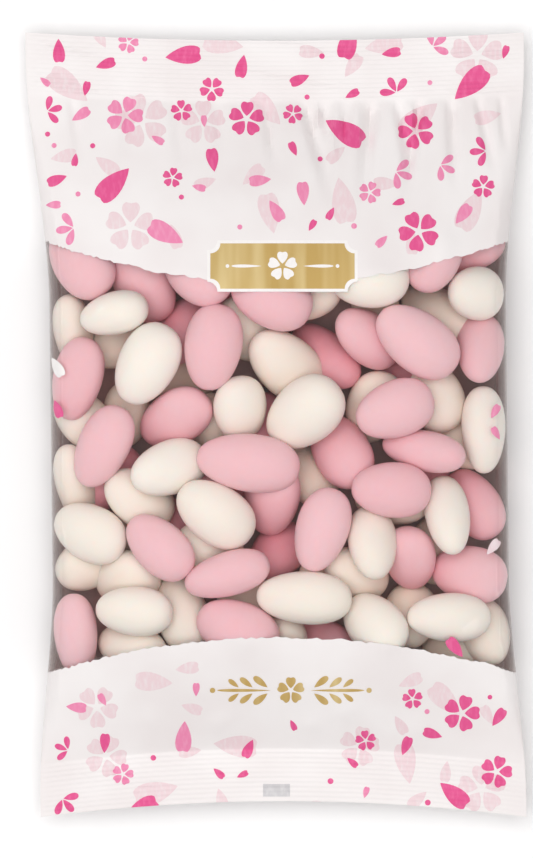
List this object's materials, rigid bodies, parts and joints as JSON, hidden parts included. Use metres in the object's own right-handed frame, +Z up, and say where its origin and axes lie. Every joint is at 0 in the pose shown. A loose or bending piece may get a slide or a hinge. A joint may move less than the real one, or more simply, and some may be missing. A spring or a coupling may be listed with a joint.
{
  "type": "sealed bag of sugared almonds",
  "caption": "Flat sealed pillow bag of pink and cream sugared almonds: clear window between two printed ends with crimped seals, lying front up.",
  "frame": {"origin": "under the middle of the bag, on the surface it lies on", "axes": "+Y towards the top seal, +X to the right of the printed front, +Z up out of the front"},
  "size_m": [0.1508, 0.236, 0.0346],
  "materials": {
    "film": "printed clear film, soft gloss",
    "sugar": "satin panned sugar shell"
  },
  "bodies": {
    "root": {"bag": "film", "almonds": "sugar"}
  },
  "joints": []
}
